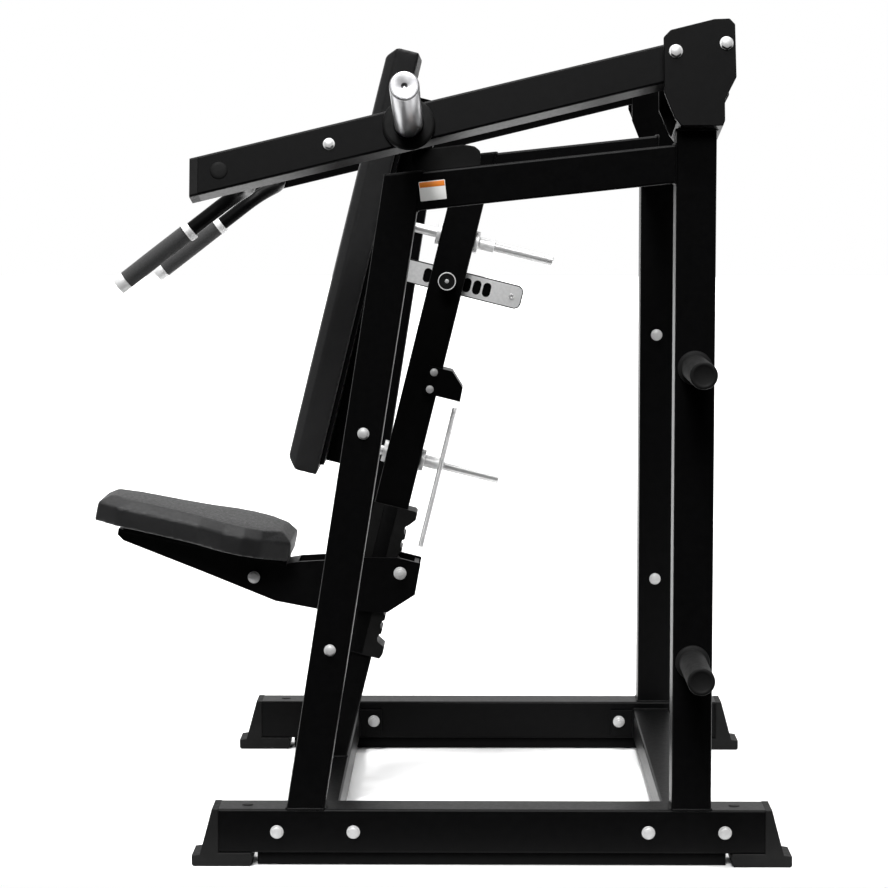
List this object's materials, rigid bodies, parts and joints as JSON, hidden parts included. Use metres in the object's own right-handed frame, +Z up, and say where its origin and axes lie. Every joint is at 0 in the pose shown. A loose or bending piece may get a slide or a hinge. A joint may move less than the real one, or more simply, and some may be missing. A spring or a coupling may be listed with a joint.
{
  "type": "plate-loaded shoulder press machine",
  "caption": "Seated plate-loaded press frame with two converging lever arms, a sliding back pad and a height-set seat.",
  "frame": {"origin": "on the floor, under the middle of the whole machine's footprint", "axes": "+X lateral, towards the selector side; +Y to the rear, the user faces -Y; +Z up"},
  "size_m": [1.7292, 1.3049, 1.5013],
  "materials": {
    "black_powder_coat": "satin powder coat",
    "black_rubber": "matte rubber",
    "black_plastic": "matte moulded",
    "brushed_steel": "brushed",
    "chrome": "polished",
    "aluminium": "satin anodised",
    "pad_vinyl": "grained synthetic leather",
    "grip_rubber": "moulded grip"
  },
  "bodies": {
    "frame": {"base_rail_L": "black_powder_coat", "base_rail_R": "black_powder_coat", "front_crossmember": "black_powder_coat", "rear_crossmember": "black_powder_coat", "front_upright_L": "black_powder_coat", "front_upright_R": "black_powder_coat", "rear_upright_L": "black_powder_coat", "rear_upright_R": "black_powder_coat", "top_beam_L": "black_powder_coat", "top_beam_R": "black_powder_coat", "center_column": "black_powder_coat", "center_top_beam": "black_powder_coat", "rear_top_crossmember": "black_powder_coat", "pivot_bracket_L": "black_powder_coat", "pivot_bracket_R": "black_powder_coat", "spring_hanger": "black_powder_coat", "front_foot_L": "black_rubber", "front_foot_R": "black_rubber", "rear_foot_L": "black_rubber", "rear_foot_R": "black_rubber", "arm_bumper_L": "black_rubber", "arm_bumper_R": "black_rubber", "upper_storage_horn_L": "black_rubber", "upper_storage_horn_R": "black_rubber", "lower_storage_horn_L": "black_rubber", "lower_storage_horn_R": "black_rubber", "selector_housing": "black_plastic", "seat_rack": "black_plastic", "outer_bearing_L": "brushed_steel", "outer_bearing_R": "brushed_steel", "inner_bearing_L": "brushed_steel", "inner_bearing_R": "brushed_steel", "seat_spring": "brushed_steel", "upper_rod_sleeve": "chrome", "lower_rod_sleeve": "chrome"},
    "left_arm": {"lever_arm_L": "black_powder_coat", "arm_end_cap_L": "black_plastic", "pivot_shaft_L": "brushed_steel", "horn_flange_L": "black_rubber", "weight_horn_L": "brushed_steel", "handle_tube_L": "black_powder_coat", "handle_grip_L": "grip_rubber", "grip_end_cap_L": "aluminium"},
    "right_arm": {"lever_arm_R": "black_powder_coat", "arm_end_cap_R": "black_plastic", "pivot_shaft_R": "brushed_steel", "horn_flange_R": "black_rubber", "weight_horn_R": "brushed_steel", "handle_tube_R": "black_powder_coat", "handle_grip_R": "grip_rubber", "grip_end_cap_R": "aluminium"},
    "back_carriage": {"back_pad": "pad_vinyl", "back_pad_frame": "black_powder_coat", "upper_guide_rod": "chrome", "lower_guide_rod": "chrome", "adjustment_plate": "aluminium"},
    "seat_slide_body": {"seat_pad": "pad_vinyl", "seat_carriage": "black_powder_coat", "seat_latch_pin": "brushed_steel"},
    "selector": {"selector_knob": "black_plastic"}
  },
  "joints": [
    {"name": "left_arm_press", "type": "hinge", "parent": "frame", "child": "left_arm", "pos_m": [-0.495, 0.47453, 1.433], "axis": [-0.9833, 0, 0.1822], "range_deg": [0, 50]},
    {"name": "right_arm_press", "type": "hinge", "parent": "frame", "child": "right_arm", "pos_m": [0.495, 0.47453, 1.433], "axis": [-0.9833, 0, -0.1822], "range_deg": [0, 50]},
    {"name": "back_pad_slide", "type": "slide", "parent": "frame", "child": "back_carriage", "axis": [0, -0.9707, 0.2402], "range_m": [-0.0396, 0.0792]},
    {"name": "seat_height", "type": "slide", "parent": "frame", "child": "seat_slide_body", "axis": [0, 0.2402, 0.9707], "range_m": [-0.137, 0.0822], "deforming": ["seat_spring"]},
    {"name": "selector_pull", "type": "slide", "parent": "frame", "child": "selector", "axis": [1, 0, 0], "range_m": [0, 0.01], "stiffness_N_per_m": 600, "springref_m": -0.006}
  ]
}
